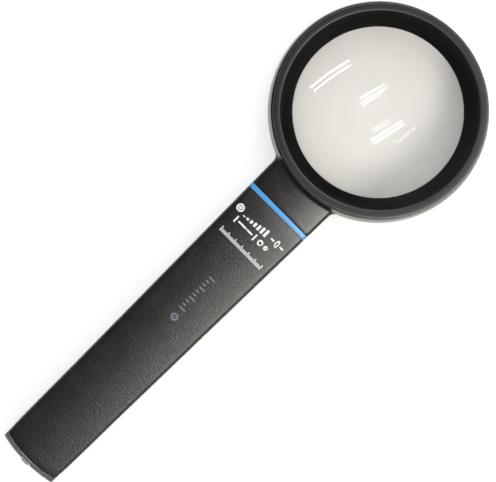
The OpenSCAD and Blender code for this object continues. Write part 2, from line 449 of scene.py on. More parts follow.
@dataclass(frozen=True)
class Handle:
    """Lengths, widths and section of the handle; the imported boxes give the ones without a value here."""

    head_y: float
    neck_end: float
    ring_end: float
    end_a: float
    tip_a: float
    neck_w: float
    thick: float
    plug_w: float
    end_w: float = 19.5
    plug_h: float = 9.4
    plug_seat: float = 1.9
    crown: float = 0.6
    edge_r: float = 1.2
    inner_r: float = 0.3
    end_bow: float = 40.0
    nose: float = 2.1
    cap_land: float = 0.2
    wall: float = 2.0
    spigot_len: float = 7.0
    spigot_wall: float = 1.3
    tang_len: float = 30.0
    tang_root: float = 3.0
    slide: float = 0.15
    fit: float = 0.1

    @classmethod
    def from_frame(cls, head: Head) -> "Handle":
        """Read the handle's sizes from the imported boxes.

        Args:
            head: The head, which gives the lens axis.

        Returns:
            The handle's sizes.
        """
        ring, cap, plug = box_mm("accent_ring"), box_mm("end_cap"), box_mm("end_plug")
        return cls(head_y=head.y, neck_end=head.y - ring[1].y, ring_end=head.y - ring[0].y,
                   end_a=head.y - cap[0].y, tip_a=head.y - plug[0].y, neck_w=ring[1].x - ring[0].x,
                   thick=ring[1].z, plug_w=plug[1].x - plug[0].x)

    @property
    def mid(self) -> float:
        """Middle height of the handle."""
        return self.thick / 2

    @property
    def bow_a(self) -> float:
        """Distance of the centre of the end's bow from the lens axis."""
        return self.end_a - self.end_bow

    @property
    def joint_r(self) -> float:
        """Radius of the joint between the grip and the end cap, about the centre of the bow."""
        return self.end_bow - self.nose - self.cap_land

    def half_w(self, a: float) -> float:
        """Half-width of the handle at a distance from the lens axis."""
        taper = (self.neck_w - self.end_w) / 2 * (a - self.neck_end)
        return self.neck_w / 2 - taper / (self.end_a - self.neck_end)

    def outside(self, a: float, inset: float = 0.0) -> list[Pair]:
        """Outline of the outside at a distance from the lens axis, shrunk by an inset.

        Args:
            a: The distance.
            inset: The inset.

        Returns:
            Points as (x, height).
        """
        master = bar_outline(self.neck_w / 2, 0.0, self.thick, self.crown, self.edge_r)
        wide = self.half_w(a) / (self.neck_w / 2)
        return shrink([(x * wide, z) for x, z in master], inset)

    def inside(self, a: float, inset: float, low: float, high: float) -> list[Pair]:
        """Outline of a block that keeps an inset from the sides at a distance from the lens axis."""
        return bar_outline(self.half_w(a) - inset, low, high, FLAT, self.inner_r)

    def surface_z(self, x: float, a: float) -> float:
        """Height of the upper face at x, at a distance from the lens axis.

        Args:
            x: Place across the handle.
            a: The distance.

        Returns:
            The height.
        """
        crown_r = (self.neck_w ** 2 / 4 + self.crown ** 2) / (2 * self.crown)
        across = x * self.neck_w / 2 / self.half_w(a)
        return self.thick - crown_r + math.sqrt(crown_r ** 2 - across ** 2)

    def level(self, outline: Sequence[Pair], a: float) -> list[Triple]:
        """Row of points of an outline that stands straight across the handle."""
        return [(x, self.head_y - a, z) for x, z in outline]

    def inner_row(self, a: float, inset: float, low: float, high: float) -> list[Triple]:
        """Row of points of that block's outline, straight across the handle."""
        return self.level(self.inside(a, inset, low, high), a)

    def bowed(self, outline: Sequence[Pair], radius: float, share: float = 1.0,
              a: float = 0.0) -> list[Triple]:
        """Row of points of an outline that is bent round the centre of the end's bow.

        Args:
            outline: The outline's points as (x, height).
            radius: Radius of the bow.
            share: How far the row has gone from straight to bowed.
            a: Distance of the straight row.

        Returns:
            The row's points.
        """
        bent = [self.bow_a + math.sqrt(radius ** 2 - x * x) for x, _ in outline]
        return [(x, self.head_y - (a + (b - a) * share), z) for (x, z), b in zip(outline, bent)]

    def nose_row(self, outline: Sequence[Pair], proud: float = 0.0) -> list[Triple]:
        """Row of points of an outline that lies on the bulged end of the cap, or proud of it.

        Args:
            outline: The outline's points as (x, height).
            proud: How far it stands off the bulge.

        Returns:
            The row's points.
        """
        arc = (self.mid ** 2 + self.nose ** 2) / (2 * self.nose)
        radii = [self.end_bow - arc + math.sqrt((arc + proud) ** 2 - (z - self.mid) ** 2)
                 for _, z in outline]
        return [(x, self.head_y - self.bow_a - math.sqrt(r * r - x * x), z)
                for (x, z), r in zip(outline, radii)]


# ---------------------------------------------------------------- shader wiring


class Wiring:
    """A node tree being wired."""

    def __init__(self, tree: bpy.types.NodeTree) -> None:
        """Keep the tree and clear it."""
        self.tree = tree
        tree.nodes.clear()

    def add(self, kind: str, inputs: dict[str | int, object] | None = None,
            **settings: object) -> bpy.types.Node:
        """Add a node.

        Args:
            kind: Name of the node type, without "ShaderNode".
            inputs: Values or output sockets for its inputs, by name or number.
            settings: Values of the node's own options.

        Returns:
            The node.
        """
        made = self.tree.nodes.new(kind if kind.startswith("Node") else "ShaderNode" + kind)
        for key, value in settings.items():
            setattr(made, key, value)
        for key, value in (inputs or {}).items():
            if isinstance(value, bpy.types.NodeSocket):
                self.tree.links.new(value, made.inputs[key])
            else:
                made.inputs[key].default_value = value
        return made

    def math(self, operation: str, a: object, b: object = 0.0, c: object = 0.0) -> bpy.types.NodeSocket:
        """Output of a Math node."""
        return self.add("Math", {0: a, 1: b, 2: c}, operation=operation).outputs[0]

    def vector(self, operation: str, a: object, b: object = (0, 0, 0)) -> bpy.types.Node:
        """Vector Math node."""
        return self.add("VectorMath", {0: a, 1: b}, operation=operation)

    def blend(self, factor: object, a: object, b: object) -> bpy.types.NodeSocket:
        """Colour output of a Mix node."""
        return self.add("Mix", {0: factor, 6: a, 7: b}, data_type="RGBA").outputs[2]

    def ramp(self, value: object, low: object, high: object, to_low: float = 0.0,
             to_high: float = 1.0) -> bpy.types.NodeSocket:
        """Value moved smoothly from one range into another and kept inside it."""
        inputs = {"Value": value, "From Min": low, "From Max": high, "To Min": to_low, "To Max": to_high}
        return self.add("MapRange", inputs, interpolation_type="SMOOTHSTEP").outputs["Result"]

    def place(self) -> bpy.types.NodeSocket:
        """Place on the object in millimetres."""
        inputs = {0: self.add("TexCoord").outputs["Object"], "Scale": 1 / MM}
        return self.add("VectorMath", inputs, operation="SCALE").outputs[0]

    def noise(self, scale: object, detail: float, roughness: float,
              where: object = None) -> bpy.types.NodeSocket:
        """Value of a noise whose scale is in features per millimetre."""
        inputs = {"Vector": where or self.place(), "Scale": scale, "Detail": detail, "Roughness": roughness}
        return self.add("TexNoise", inputs).outputs[0]

    def group(self, tree: bpy.types.NodeTree, **inputs: float) -> bpy.types.bpy_prop_collection:
        """Outputs of a node group that has some of its inputs set."""
        return self.add("Group", inputs, node_tree=tree).outputs

    def close(self, end: bpy.types.Node, results: dict[str, bpy.types.NodeSocket]) -> bpy.types.NodeTree:
        """Link a group's results to its output node, and give the group."""
        for key, value in results.items():
            self.tree.links.new(value, end.inputs[key])
        return self.tree

    def surface(self, colour: object, rough: object, height: object, relief: float, strength: float = 1.0,
                constants: dict[str, float] | None = None) -> bpy.types.NodeSocket:
        """Shader of a surface with a fine relief.

        Args:
            colour: Its colour.
            rough: Its roughness.
            height: Height of the relief, from 0 to 1.
            relief: Depth of the relief in millimetres.
            strength: Strength of the relief.
            constants: Values of other inputs of the shader, by name.

        Returns:
            The shader's output.
        """
        bump = self.add("Bump", {"Height": height, "Distance": relief * MM, "Strength": strength})
        inputs = {"Base Color": colour, "Roughness": rough, "Normal": bump.outputs[0], **(constants or {})}
        return self.add("BsdfPrincipled", inputs).outputs[0]


def new_group(name: str, inputs: dict[str, float],
              outputs: Sequence[str]) -> tuple[Wiring, dict[str, bpy.types.NodeSocket], bpy.types.Node]:
    """Start a shader node group with float sockets.

    Args:
        name: Name of the group.
        inputs: Input names with their usual values.
        outputs: Output names.

    Returns:
        The group's wiring, its input sockets by name, and its output node.
    """
    tree = bpy.data.node_groups.new(name, "ShaderNodeTree")
    for key, value in inputs.items():
        made = tree.interface.new_socket(name=key, in_out="INPUT", socket_type="NodeSocketFloat")
        made.default_value = value
    for key in outputs:
        tree.interface.new_socket(name=key, in_out="OUTPUT", socket_type="NodeSocketFloat")
    wiring = Wiring(tree)
    start, end = wiring.add("NodeGroupInput"), wiring.add("NodeGroupOutput")
    return wiring, {key: start.outputs[key] for key in inputs}, end


@cache
def grain_group() -> bpy.types.NodeTree:
    """Moulded grain: fine pits and soft hills with a slow drift of tone.

    Returns:
        A group with the inputs Pits and Hills in features per millimetre, and the outputs Height and Drift.
    """
    w, sockets, end = new_group("moulded_grain", {"Pits": 6.0, "Hills": 1.5}, ("Height", "Drift"))
    cells = w.add("TexVoronoi", {"Vector": w.place(), "Scale": sockets["Pits"], "Randomness": 1.0})
    pit = w.ramp(cells.outputs["Distance"], low=0.1, high=0.6)
    hills = w.noise(sockets["Hills"], detail=4.0, roughness=0.6)
    pit_share = 0.12
    height = w.math("MULTIPLY_ADD", pit, pit_share, w.math("MULTIPLY", hills, 1 - pit_share))
    drift = w.ramp(w.noise(0.045, detail=3.0, roughness=0.55), low=0.35, high=0.65)
    return w.close(end, {"Height": height, "Drift": drift})


@cache
def edge_mask_group() -> bpy.types.NodeTree:
    """Edge mask: a broken line along the edges; a painted highlight on the bezel and end cap, rubbing
    elsewhere.

    Returns:
        A group with the inputs Reach in metres and Break, and the output EdgeLine.
    """
    w, sockets, end = new_group("edge_mask", {"Reach": 0.0004, "Break": 0.5}, ("EdgeLine",))
    soft = w.add("Bevel", {"Radius": sockets["Reach"]}, samples=4).outputs[0]
    facing = w.vector("DOT_PRODUCT", soft, w.add("NewGeometry").outputs["Normal"]).outputs["Value"]
    edge = w.ramp(facing, low=0.995, high=0.93)
    blur = 0.15
    low, high = (w.math(way, sockets["Break"], blur) for way in ("SUBTRACT", "ADD"))
    broken = w.ramp(w.noise(1.3, detail=5.0, roughness=0.7), low, high)
    return w.close(end, {"EdgeLine": w.math("MULTIPLY", edge, broken)})


@cache
def dust_group() -> bpy.types.NodeTree:
    """Dust: sparse pale specks on the faces that look up, with faint smears between them.

    Returns:
        A group with the inputs Specks in features per millimetre and Cover, and the outputs Dust and Smear.
    """
    w, sockets, end = new_group("dust", {"Specks": 1.1, "Cover": 0.06}, ("Dust", "Smear"))
    cells = w.add("TexVoronoi", {"Vector": w.place(), "Scale": sockets["Specks"]}).outputs
    spot = w.ramp(cells["Distance"], low=sockets["Cover"], high=0.0)
    chosen = w.ramp(w.add("SeparateColor", {0: cells["Color"]}).outputs[0], low=0.72, high=0.8)
    up = w.add("SeparateXYZ", {0: w.add("NewGeometry").outputs["Normal"]}).outputs["Z"]
    dust = w.math("MULTIPLY", w.math("MULTIPLY", spot, chosen), w.ramp(up, low=0.2, high=0.9))
    smear = w.ramp(w.noise(0.16, detail=4.0, roughness=0.65), low=0.45, high=0.75)
    return w.close(end, {"Dust": dust, "Smear": smear})


# ---------------------------------------------------------------- finishes

DUST_TONE = (0.42, 0.41, 0.39)
DUST_COVER = 0.5  # how strongly a speck of dust covers a moulding
TINT = 0.35  # how far grain and drift each lift a tone towards the pale one
GRAIN_ROUGH, SMEAR_ROUGH, WEAR_ROUGH = 0.12, 0.06, -0.12  # change of roughness by each
HOOD_EDGE, HOOD_SHADE, HOOD_ROUGH = 0.5, 0.35, 0.1  # soft edge, painted shade (a share of the tone) and dulling inside the hood's radius
COAT_ROUGH = 0.15


def rgba(tone: Triple, factor: float = 1.0) -> tuple[float, ...]:
    """Opaque colour that is a factor brighter than a tone."""
    return (*(factor * v for v in tone), 1)


class Finish:
    """What every finish does alike: a material named after it, with its own skin."""

    name: str

    def skin(self, w: Wiring) -> bpy.types.NodeSocket:
        """Wire the shader and give its output."""
        raise NotImplementedError

    def build(self) -> bpy.types.Material:
        """Make the material.

        Returns:
            The material.
        """
        made = bpy.data.materials.new(self.name)
        made.use_nodes = True
        w = Wiring(made.node_tree)
        w.add("OutputMaterial", {"Surface": self.skin(w)})
        return made


@dataclass(frozen=True)
class Moulding(Finish):
    """A moulded or soft-touch plastic, rubber or paint.

    Attributes:
        name: Name of the material.
        tone: Linear colour of its body.
        pale: Linear colour that drift, pits and paled edges lift it towards.
        roughness: Roughness where it is clean.
        specular: Strength of its reflection.
        pits: Pits of its grain per millimetre.
        hills: Hills of its grain per millimetre.
        relief: Depth of the grain in millimetres.
        edge_paling: How strongly paled edges show: rubbed edges where low, a painted highlight where high.
        patchy: How far the paled edges are broken up, from 0 for a whole line.
        paling_gain: How much paler than the pale colour a paled edge is.
        coat: Weight of a clear, glossy skin.
        hood: Place along Y and radius inside which painted shade darkens the colour and the roughness rises,
            in millimetres, or zeros.
    """

    name: str
    tone: Triple
    pale: Triple
    roughness: float
    specular: float = 0.5
    pits: float = 7.0
    hills: float = 2.0
    relief: float = 0.02
    edge_paling: float = 0.4
    patchy: float = 0.5
    paling_gain: float = 2.2
    coat: float = 0.0
    hood: Pair = (0.0, 0.0)

    def skin(self, w: Wiring) -> bpy.types.NodeSocket:
        """Wire the shader.

        Args:
            w: Wiring of the material.

        Returns:
            The shader's output.
        """
        grain = w.group(grain_group(), Pits=self.pits, Hills=self.hills)
        edge_paling = w.group(edge_mask_group(), Break=self.patchy)["EdgeLine"]
        dust = w.group(dust_group())
        tint = w.math("MULTIPLY_ADD", grain["Height"], TINT, w.math("MULTIPLY", grain["Drift"], TINT))
        tone = w.blend(tint, rgba(self.tone), rgba(self.pale))
        # Edges paled by the edge mask: rubbing on most mouldings, a painted highlight on the bezel and the
        # end cap.
        wear_and_glint = w.blend(w.math("MULTIPLY", edge_paling, self.edge_paling), tone, rgba(self.pale, self.paling_gain))
        colour = w.blend(w.math("MULTIPLY", dust["Dust"], DUST_COVER), wear_and_glint, rgba(DUST_TONE))
        rough = w.math("MULTIPLY_ADD", grain["Height"], GRAIN_ROUGH, self.roughness - GRAIN_ROUGH / 2)
        rough = w.math("MULTIPLY_ADD", dust["Smear"], SMEAR_ROUGH, rough)
        rough = w.math("MULTIPLY_ADD", edge_paling, WEAR_ROUGH * self.edge_paling, rough)
        # Painted shade: inside the hood's radius the colour falls to a share of the tone, standing in for the
        # shade in the head's recess.
        if self.hood[1]:
            offset = w.vector("SUBTRACT", w.place(), (0, self.hood[0], 0)).outputs[0]
            level = w.vector("MULTIPLY", offset, (1, 1, 0)).outputs[0]
            reach = w.vector("LENGTH", level).outputs["Value"]
            inner = w.ramp(reach, low=self.hood[1], high=self.hood[1] - HOOD_EDGE)
            colour = w.blend(inner, colour, rgba(self.tone, HOOD_SHADE))
            rough = w.math("MULTIPLY_ADD", inner, HOOD_ROUGH, rough)
        return w.surface(colour, rough, grain["Height"], self.relief, constants={
            "Specular IOR Level": self.specular, "Coat Weight": self.coat, "Coat Roughness": COAT_ROUGH})


@dataclass(frozen=True)
class Metal(Finish):
    """A turned metal with fine tool marks around a vertical axis.

    Attributes:
        name: Name of the material.
        tone: Linear colour where it is bright.
        dull: Linear colour where it is dulled.
        roughness: Roughness where it is bright.
    """

    name: str
    tone: Triple
    dull: Triple
    roughness: float

    def skin(self, w: Wiring) -> bpy.types.NodeSocket:
        """Wire the shader.

        Args:
            w: Wiring of the material.

        Returns:
            The shader's output.
        """
        where = w.vector("MULTIPLY", w.place(), (0.6, 0.6, 14.0)).outputs[0]
        marks = w.noise(1.5, detail=4.0, roughness=0.6, where=where)
        spots = w.ramp(w.noise(0.9, detail=5.0, roughness=0.6), low=0.45, high=0.7)
        edge_paling = w.group(edge_mask_group())["EdgeLine"]
        spotted, polished, paling_gain, mark_rough, spot_rough, relief = 0.6, 0.5, 1.2, 0.15, 0.1, 0.006
        tone = w.blend(w.math("MULTIPLY", spots, spotted), rgba(self.tone), rgba(self.dull))
        bright = w.blend(w.math("MULTIPLY", edge_paling, polished), tone, rgba(self.tone, paling_gain))
        rough = w.math("MULTIPLY_ADD", marks, mark_rough, self.roughness)
        rough = w.math("MULTIPLY_ADD", spots, spot_rough, rough)
        return w.surface(bright, rough, marks, relief, constants={"Metallic": 1.0})


@dataclass(frozen=True)
class LensGlass(Finish):
    """Clear optical plastic with a faint cast, a slight ripple and a thin film of smears.

    Attributes:
        name: Name of the material.
        tone: Linear cast of the body.
        film: Linear cast where it is smeared.
        shade: Linear colour of the light that falls through it.
        ior: Index of refraction.
        roughness: Roughness of its polish.
    """

    name: str = "lens_acrylic"
    tone: Triple = (0.897, 0.891, 0.877)
    film: Triple = (0.872, 0.868, 0.876)
    shade: Triple = (0.65, 0.642, 0.622)
    ior: float = 1.49
    roughness: float = 0.0

    def skin(self, w: Wiring) -> bpy.types.NodeSocket:
        """Wire the shader.

        Args:
            w: Wiring of the material.

        Returns:
            The shader's output.
        """
        cloudy, ripple, relief, strength = 0.25, 0.05, 0.01, 0.3
        cloud = w.math("MULTIPLY", w.group(dust_group(), Specks=0.5)["Smear"], cloudy)
        tone = w.blend(cloud, rgba(self.tone), rgba(self.film))
        glass = w.surface(tone, self.roughness, w.noise(ripple, detail=0.0, roughness=0.5), relief, strength,
                          {"IOR": self.ior, "Transmission Weight": 1.0})
        clear = w.add("BsdfTransparent", {"Color": rgba(self.shade)}).outputs[0]
        shadow = w.add("LightPath").outputs["Is Shadow Ray"]
        return w.add("MixShader", {0: shadow, 1: glass, 2: clear}).outputs[0]


@dataclass(frozen=True)
class Paper(Finish):
    """The plain pale floor that the magnifier lies on.

    Attributes:
        name: Name of the material.
        tone: Linear colour.
    """

    name: str = "floor_paper"
    tone: Triple = (0.9, 0.9, 0.895)

    def skin(self, w: Wiring) -> bpy.types.NodeSocket:
        """Wire the shader.

        Args:
            w: Wiring of the material.

        Returns:
            The shader's output.
        """
        fibre = w.noise(0.25, detail=3.0, roughness=0.5)
        share, darker, rough, relief = 0.4, 0.97, 0.85, 0.004
        tone = w.blend(w.math("MULTIPLY", fibre, share), rgba(self.tone), rgba(self.tone, darker))
        return w.surface(tone, rough, fibre, relief)


@dataclass(frozen=True)
class Palette:
    """Every finish of the magnifier."""

    frame: Moulding = Moulding("frame_satin_black", (0.0015, 0.0015, 0.0016), (0.008, 0.008, 0.0082), 0.24,
                               pits=3.6, hills=1.7, relief=0.022, edge_paling=0.4)
    # Painted highlight: strong edge paling paints a pale line along the rim's edges.
    bezel: Moulding = Moulding("bezel_matte_black", (0.0085, 0.0084, 0.0084), (0.015, 0.0148, 0.0148), 0.32,
                               specular=0.2, pits=3.6, hills=1.7, relief=0.022, edge_paling=0.9, patchy=0.3,
                               paling_gain=12.0)
    grip: Moulding = Moulding("grip_soft_touch", (0.0015, 0.0015, 0.0015), (0.01, 0.0099, 0.0098), 0.3,
                              pits=3.2, hills=1.5, relief=0.06, edge_paling=0.2)
    accent: Moulding = Moulding("accent_blue", (0.022, 0.155, 0.36), (0.045, 0.21, 0.43), 0.35,
                                pits=10.0, hills=3.0, relief=0.008, edge_paling=0.2, coat=0.2)
    # Painted highlight: strong edge paling and a raised pale colour paint a pale line along the cap's edges.
    cap: Moulding = Moulding("cap_satin_black", (0.0015, 0.0015, 0.0015), (0.028, 0.028, 0.028), 0.42,
                             specular=0.15, pits=3.6, hills=1.7, relief=0.025, edge_paling=1.0, patchy=0.15,
                             paling_gain=10.0)
    # The plug is blue, but its colour is greyed and paled towards white: a painted reflection of the sheen on
    # its face.
    plug: Moulding = Moulding("plug_blue", (0.11, 0.155, 0.185), (0.15, 0.195, 0.225), 0.4,
                              pits=10.0, hills=3.0, relief=0.008, edge_paling=0.2)
    core: Moulding = Moulding("core_nylon", (0.03, 0.03, 0.033), (0.06, 0.06, 0.064), 0.55,
                              pits=3.0, hills=1.5, relief=0.03, edge_paling=0.3)
    gasket: Moulding = Moulding("gasket_rubber", (0.008, 0.008, 0.008), (0.02, 0.02, 0.02), 0.75,
                                pits=5.0, hills=2.0, relief=0.03, edge_paling=0.2)
    white_ink: Moulding = Moulding("ink_white", (0.5, 0.5, 0.495), (0.58, 0.58, 0.575), 0.55,
                                   pits=12.0, hills=5.0, relief=0.004, edge_paling=0.0)
    grey_ink: Moulding = Moulding("ink_lavender", (0.09, 0.088, 0.115), (0.13, 0.127, 0.16), 0.55,
                                  pits=12.0, hills=5.0, relief=0.004, edge_paling=0.0)
    insert: Metal = Metal("insert_brass", (0.72, 0.5, 0.2), (0.45, 0.3, 0.12), 0.28)
    screw: Metal = Metal("screw_steel", (0.6, 0.6, 0.61), (0.36, 0.36, 0.37), 0.25)
    lens: LensGlass = LensGlass()


# ---------------------------------------------------------------- sub-assemblies


@dataclass(frozen=True)
class LensSet:
    """The lens and the bezel that holds it."""

    head: Head
    palette: Palette
    dome_rings: int = 72
    rim_soft: float = 0.28
    seam_soft: float = 0.5
    mouth_soft: float = 0.28
    groove_soft: float = 0.2
    lens_turns: int = 192
    lens_sharp: float = 20.0
    edge_steps: int = 3

    def dome(self, rise: float, outwards: bool) -> list[Pair]:
        """Half-section of one aspheric face.

        Args:
            rise: Height of the dome over the clear radius.
            outwards: Whether the points run from the axis to the edge.

        Returns:
            Points as (radius, height above the dome's edge).
        """
        reach, shape = self.head.lens_r, 1 + self.head.conic
        curve = 2 * rise / (reach ** 2 + shape * rise ** 2)
        points = []
        for r in steps(0, reach, self.dome_rings):
            points.append((r, rise - curve * r * r / (1 + math.sqrt(1 - shape * (curve * r) ** 2))))
        return points if outwards else points[::-1]

    def build_lens(self) -> bpy.types.Object:
        """Turn the biconvex lens with its flange.

        Returns:
            The lens.
        """
        h = self.head
        low = h.flange_top - h.flange_t
        front = [(r, h.flange_top + z) for r, z in self.dome(h.lens_top - h.flange_top, True)]
        rear = [(r, low - z) for r, z in self.dome(low - h.lens_low, False)]
        edge = rounded([(h.lens_r, h.flange_top, 0), (h.flange_r, h.flange_top, h.edge),
                        (h.flange_r, low, h.edge), (h.lens_r, low, 0)], self.edge_steps)
        outline = front + edge[1:-1] + rear
        lens = lathe("lens_asphere", outline, h.y, self.lens_turns, self.lens_sharp)
        return settle(lens, Slot.LENS, self.palette.lens.build(), "lens")

    def build_bezel(self, finish: bpy.types.Material) -> bpy.types.Object:
        """Turn the front rim, its conical hood and its skirt with the snap bead.

        Args:
            finish: Material of the mouldings.

        Returns:
            The bezel.
        """
        h = self.head
        under = h.top - h.bezel_t
        slope = (h.hood_r - h.lens_r) / (h.top - h.flange_top)
        wall = h.hood_wall * math.hypot(1, slope)
        groove_r = h.skirt_r - h.hood_wall
        groove_top = h.flange_top + (groove_r - h.lens_r - wall) / slope
        corners = [(h.lens_r, h.flange_top, h.edge), (h.lens_r + wall, h.flange_top, h.crease),
                   (groove_r, groove_top, self.groove_soft), (groove_r, h.flange_top, h.crease),
                   (h.skirt_r, h.flange_top, h.corner), *h.bead(h.skirt_r, 0), (h.skirt_r, under, h.corner),
                   (h.rim_r, under, self.seam_soft), (h.rim_r, h.top, self.rim_soft),
                   (h.hood_r, h.top, self.mouth_soft)]
        bezel = lathe("front_bezel_moulding", rounded(corners), h.y)
        return settle(bezel, Slot.FRAME, finish, "front_bezel")


@dataclass(frozen=True)
class FrameBody:
    """Barrel, rear hood, neck and tang in one moulding."""

    head: Head
    handle: Handle
    side_fillet: float = 1.5
    top_fillet: float = 0.4
    bottom_fillet: float = 0.3
    first_turn: float = 20.0
    turn_steps: int = 7
    neck_steps: int = 10
    overlap: float = 0.8
    edge_soft: float = 0.14
    edge_steps: int = 3
    side_steps: int = 28
    lip: float = 0.3
    foot_soft: float = 0.25
    mouth_w: float = 0.3
    mouth_h: float = 0.2
    mouth_soft: float = 0.5
    groove_soft: float = 0.3
    tip_slope: float = 0.4
    tip_inset: float = 0.3
    insert_d: float = 3.9
    insert_skin: float = 0.6
    insert_turns: int = 48
    screw_edge: float = 6.0

    def barrel(self) -> bpy.types.Object:
        """Turn the barrel's outside as a solid.

        Returns:
            The solid barrel.
        """
        h = self.head
        side = [(h.barrel(z), z, 0) for z in steps(h.rim_bevel, h.frame_top - self.lip, self.side_steps)]
        corners = [(0, 0, 0), (h.rim_r - h.rim_bevel, 0, self.foot_soft), *side,
                   (h.barrel(h.frame_top), h.frame_top, h.corner), (0, h.frame_top, 0)]
        return lathe("barrel_blank", rounded(corners), h.y)

    def hollow(self) -> bpy.types.Object:
        """Turn the rear hood, the lens pocket and the bezel's bore as a cutting tool.

        Returns:
            The tool.
        """
        h = self.head
        bore, pocket, ledge = h.skirt_r + h.fit, h.flange_r + h.fit, h.flange_top - h.fit
        slope = (h.hood_r - h.lens_r) / h.seat_z
        outer = h.hood_r + h.hood_wall * math.hypot(1, slope)
        wall_r, mouth_r, lead_r = pocket + h.hood_wall, h.hood_r + self.mouth_w, bore + h.corner
        corners = [(0, -BEYOND, 0), (mouth_r, -BEYOND, 0), (mouth_r, 0, 0),
                   (h.hood_r - self.mouth_h * slope, self.mouth_h, self.mouth_soft),
                   (h.lens_r, h.seat_z, h.corner), (pocket, h.seat_z, h.crease), (pocket, ledge, h.corner),
                   (wall_r, ledge, h.corner), (wall_r, (outer - wall_r) / slope, self.groove_soft),
                   (bore, (outer - bore) / slope, self.groove_soft), *h.bead(bore, h.fit),
                   (bore, h.frame_top - h.corner, 0), (lead_r, h.frame_top, 0), (lead_r, h.top, 0),
                   (0, h.top, 0)]
        return lathe("hollow_blank", rounded(corners), h.y)

    def neck_row(self, turn: float, sunk: float = 0.0) -> list[Triple]:
        """Row of the fillet between the neck and the barrel.

        Args:
            turn: Angle round the fillet in degrees, 90 where it runs out on the neck.
            sunk: How far the row carries on into the barrel, in fillet radii.

        Returns:
            The row's points.
        """
        hd, h = self.handle, self.head
        outline = hd.outside(h.barrel_r)
        sin, cos = math.sin(math.radians(turn)), math.cos(math.radians(turn))
        row = []
        for i, (x, z) in enumerate(outline):
            nx, nz = outward(outline, i)
            upright = self.top_fillet if nz > 0 else self.bottom_fillet
            radius = self.side_fillet * nx * nx + nz * nz * upright
            away = radius * (1 - cos - sunk * sin)
            out = radius * (1 - sin + sunk * cos) * min(1.0, max(0.0, 1 + nz))
            px, pz = x + out * nx, z + out * max(nz, 0.0)
            reach = h.barrel(min(pz, h.frame_top)) + away
            row.append((px, hd.head_y - math.sqrt(reach ** 2 - px * px), pz))
        return row

    def neck(self) -> bpy.types.Object:
        """Skin the neck with its fillets and the tang behind it.

        Returns:
            The neck, reaching into the barrel.
        """
        hd, h, soft = self.handle, self.head, self.edge_soft
        low, high, inset = hd.wall + hd.slide, hd.thick - hd.wall - hd.slide, hd.wall + hd.slide
        lap, tip = hd.ring_end + hd.tang_root, hd.ring_end + hd.tang_len
        sunk = self.neck_row(self.first_turn, self.overlap)
        rows = [[(x, hd.head_y - h.lens_r, z) for x, _, z in sunk], sunk]
        rows += [self.neck_row(turn) for turn in steps(self.first_turn, 90, self.turn_steps)]
        start, end = rows[-1], hd.level(hd.outside(hd.neck_end - soft), hd.neck_end - soft)
        rows += [[mix(p, q, share) for p, q in zip(start, end)] for share in steps(0, 1, self.neck_steps)[1:]]
        rows += [hd.level(hd.outside(hd.neck_end, drawn), hd.neck_end - back)
                 for drawn, back in roll(soft, self.edge_steps)[1:]]
        slope = tip - self.tip_slope
        rows += [hd.inner_row(a, inset, bottom, high)
                 for a, bottom in ((hd.neck_end, low), (lap, low), (lap, hd.mid), (slope, hd.mid))]
        rows.append(hd.inner_row(tip, inset + self.tip_slope, hd.mid + self.tip_inset, high - self.tip_inset))
        return loft("neck_blank", rows)

    def build(self, finish: bpy.types.Material) -> bpy.types.Object:
        """Join the barrel and the neck, and cut out the hoods, the pocket and the insert bores.

        Args:
            finish: Material of the mouldings.

        Returns:
            The frame's moulding.
        """
        hd = self.handle
        body = self.barrel()
        body.name = "frame_moulding"
        combine(body, self.neck(), Join.ADD)
        combine(body, self.hollow(), Join.CUT)
        places = (hd.ring_end + hd.tang_root + self.screw_edge, hd.ring_end + hd.tang_len - self.screw_edge)
        roof = hd.thick - hd.wall - hd.slide - self.insert_skin
        foot, radius = hd.mid - BEYOND, self.insert_d / 2
        outline = [(0, foot), (radius, foot), (radius, roof), (0, roof)]
        for a in places:
            combine(body, lathe("bore_blank", outline, hd.head_y - a, self.insert_turns), Join.CUT)
        return settle(body, Slot.FRAME, finish, "lens_frame")


